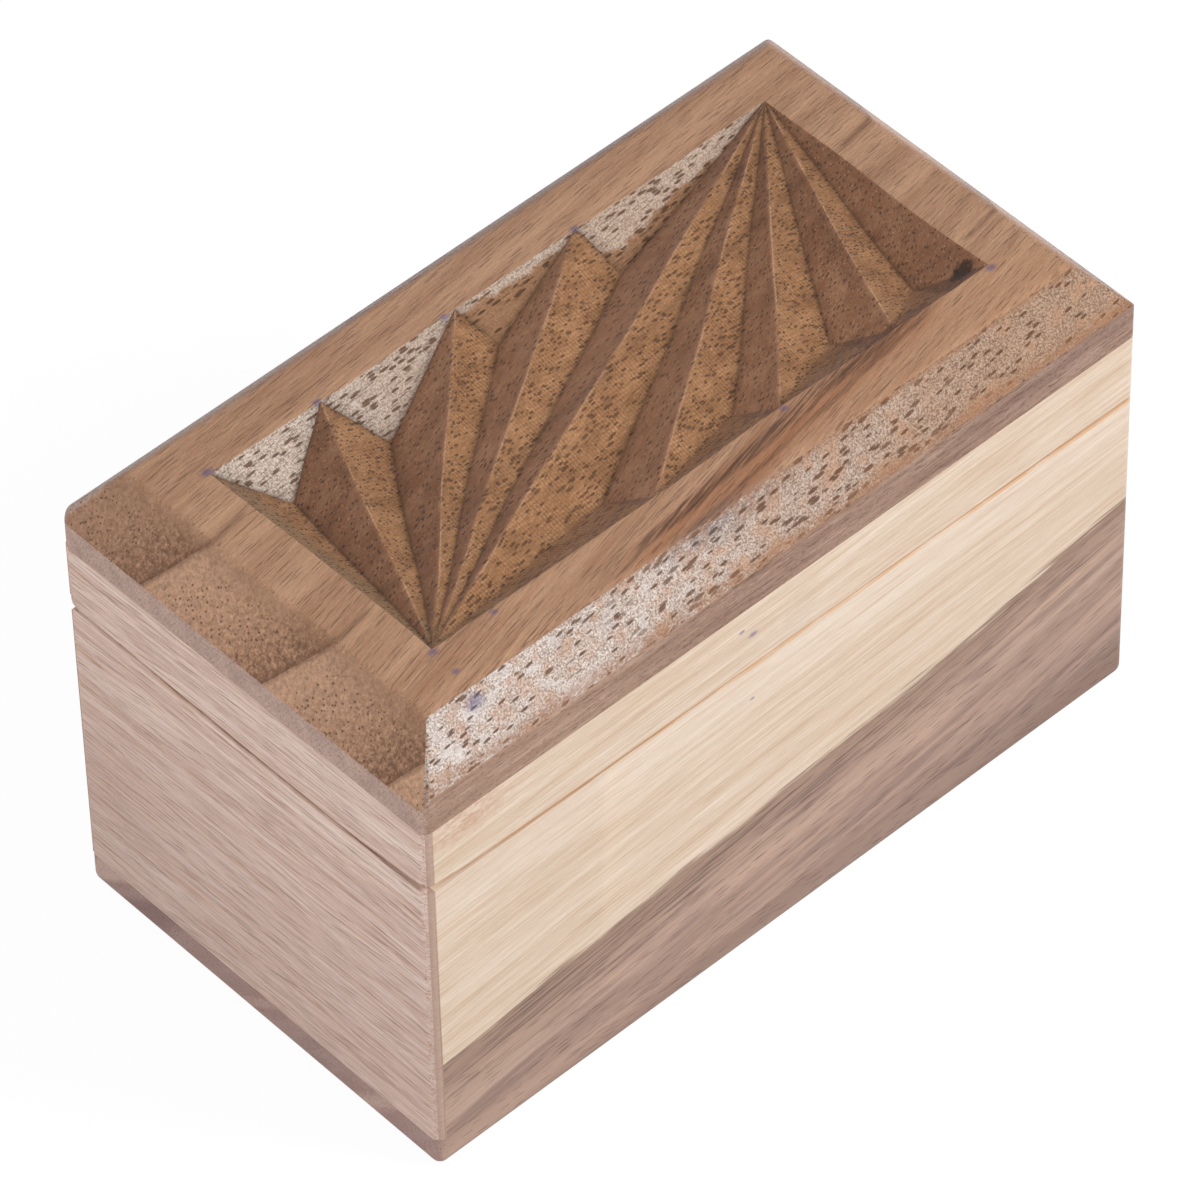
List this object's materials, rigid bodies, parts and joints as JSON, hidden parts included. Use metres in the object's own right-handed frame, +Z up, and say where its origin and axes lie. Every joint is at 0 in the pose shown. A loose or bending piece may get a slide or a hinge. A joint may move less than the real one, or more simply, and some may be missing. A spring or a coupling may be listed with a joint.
{
  "type": "wooden puzzle box",
  "caption": "Small wooden puzzle box: mitred walls, a bevelled lid chip-carved with two fans of rays, concealed hinges at the back and a hidden sliding-pin lock.",
  "frame": {"origin": "middle of the bottom face", "axes": "+X along the length, front long face towards -Y, hinge side towards +Y, +Z up"},
  "size_m": [0.14, 0.077, 0.088],
  "materials": {
    "carved_wood": "coarse-pored brown tropical hardwood, thin satin oil, sapwood pale at the cut edges",
    "dark_wood": "dark purple-brown hardwood, satin oil",
    "cream_wood": "fine straight-grained cream wood with a brown heartwood streak, satin oil",
    "rose_wood": "fine-grained pinkish brown wood, satin oil",
    "hinge_brass": "turned brass, bright",
    "steel": "ground steel rod"
  },
  "bodies": {
    "body": {"base_board": "dark_wood", "front_wall": "cream_wood", "back_wall": "cream_wood", "left_wall": "rose_wood", "right_wall": "rose_wood", "left_body_barrel": "hinge_brass", "right_body_barrel": "hinge_brass", "body_link_pins": "steel", "left_lock_block": "cream_wood", "middle_lock_block": "cream_wood", "right_lock_block": "cream_wood"},
    "hinge_links": {"left_hinge_link": "hinge_brass", "right_hinge_link": "hinge_brass"},
    "lid": {"carved_top": "carved_wood", "lid_front_rail": "cream_wood", "lid_back_rail": "cream_wood", "lid_left_rail": "rose_wood", "lid_right_rail": "rose_wood", "left_lid_barrel": "hinge_brass", "right_lid_barrel": "hinge_brass", "lid_link_pins": "steel", "left_catch": "rose_wood", "right_catch": "rose_wood"},
    "left_lock_pin": {"left_lock_pin": "steel"},
    "right_lock_pin": {"right_lock_pin": "steel"}
  },
  "joints": [
    {"name": "link_swing", "type": "hinge", "parent": "body", "child": "hinge_links", "pos_m": [0, 0.0355, 0.0579], "axis": [-1, 0, 0], "range_deg": [0, 50]},
    {"name": "lid_swing", "type": "hinge", "parent": "hinge_links", "child": "lid", "pos_m": [0, 0.0355, 0.0642], "axis": [-1, 0, 0], "range_deg": [0, 50]},
    {"name": "left_pin_slide", "type": "slide", "parent": "body", "child": "left_lock_pin", "axis": [1, 0, 0], "range_m": [0, 0.0177]},
    {"name": "right_pin_slide", "type": "slide", "parent": "body", "child": "right_lock_pin", "axis": [-1, 0, 0], "range_m": [0, 0.0177]}
  ],
  "couplings": [
    {"joint": "link_swing", "follows": "lid_swing", "ratio": 1}
  ]
}
